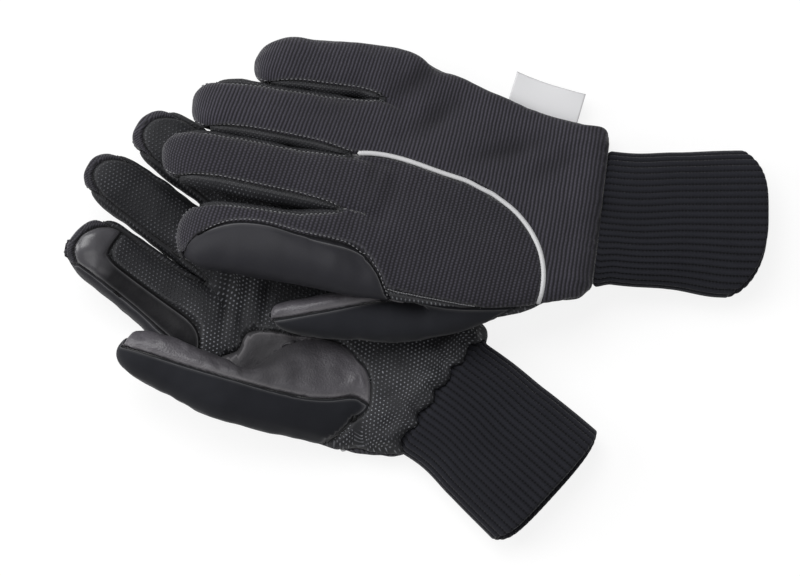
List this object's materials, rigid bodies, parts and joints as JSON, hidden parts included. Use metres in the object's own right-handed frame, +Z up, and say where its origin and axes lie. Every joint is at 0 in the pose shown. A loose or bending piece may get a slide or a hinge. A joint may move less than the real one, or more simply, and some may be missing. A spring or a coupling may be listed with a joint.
{
  "type": "pair of work gloves",
  "caption": "Pair of insulated work gloves with ribbed backs, grip palms, leather thumbs, reflective piping and rib-knit cuffs, laid one across the other.",
  "frame": {"origin": "centre of the pair's outline on the floor it lies on", "axes": "+X towards the cuffs along the pair's longest side, +Y from the lower glove's thumb towards the upper glove's little finger, +Z up"},
  "size_m": [0.3301, 0.2382, 0.0642],
  "materials": {
    "back_fabric": "ribbed stretch fabric, matte black",
    "grip_fabric": "coated grip fabric with small raised dots, black",
    "smooth_synthetic": "smooth synthetic leather, charcoal, satin",
    "leather": "soft grained leather, black, slight sheen",
    "softshell": "fine softshell fabric, matte black",
    "reflective_tape": "light grey reflective piping",
    "wadding": "grey fibre wadding",
    "fleece": "brushed fleece, dark grey",
    "rib_knit": "rib knit, navy black",
    "label_cloth": "white woven tape, folded, bare"
  },
  "bodies": {
    "left_glove": {"left_back_outer_panel": "back_fabric", "left_back_inner_panel": "back_fabric", "left_reflective_piping": "reflective_tape", "left_palm_panel": "grip_fabric", "left_fourchette_index_middle": "grip_fabric", "left_fourchette_middle_ring": "grip_fabric", "left_fourchette_ring_little": "grip_fabric", "left_index_side_panel": "smooth_synthetic", "left_index_fingertip": "leather", "left_thumb_back": "softshell", "left_thumb_palm": "leather", "left_wadding": "wadding", "left_lining": "fleece", "left_cuff": "rib_knit"},
    "right_glove": {"right_back_outer_panel": "back_fabric", "right_back_inner_panel": "back_fabric", "right_reflective_piping": "reflective_tape", "right_palm_panel": "grip_fabric", "right_fourchette_index_middle": "grip_fabric", "right_fourchette_middle_ring": "grip_fabric", "right_fourchette_ring_little": "grip_fabric", "right_index_side_panel": "smooth_synthetic", "right_index_fingertip": "leather", "right_thumb_back": "softshell", "right_thumb_palm": "leather", "right_wadding": "wadding", "right_lining": "fleece", "right_cuff": "rib_knit"},
    "label_tab": {"right_label_tab": "label_cloth"}
  },
  "joints": [
    {"name": "right_glove_lift", "type": "slide", "parent": "left_glove", "child": "right_glove", "axis": [0, 0, 1], "range_m": [0, 0.15]},
    {"name": "label_tab_fold", "type": "hinge", "parent": "right_glove", "child": "label_tab", "pos_m": [0.06117, 0.08507, 0.01218], "axis": [0.9462, -0.3235, 0], "range_deg": [-35, 80], "stiffness_Nm_per_rad": 0.001}
  ]
}
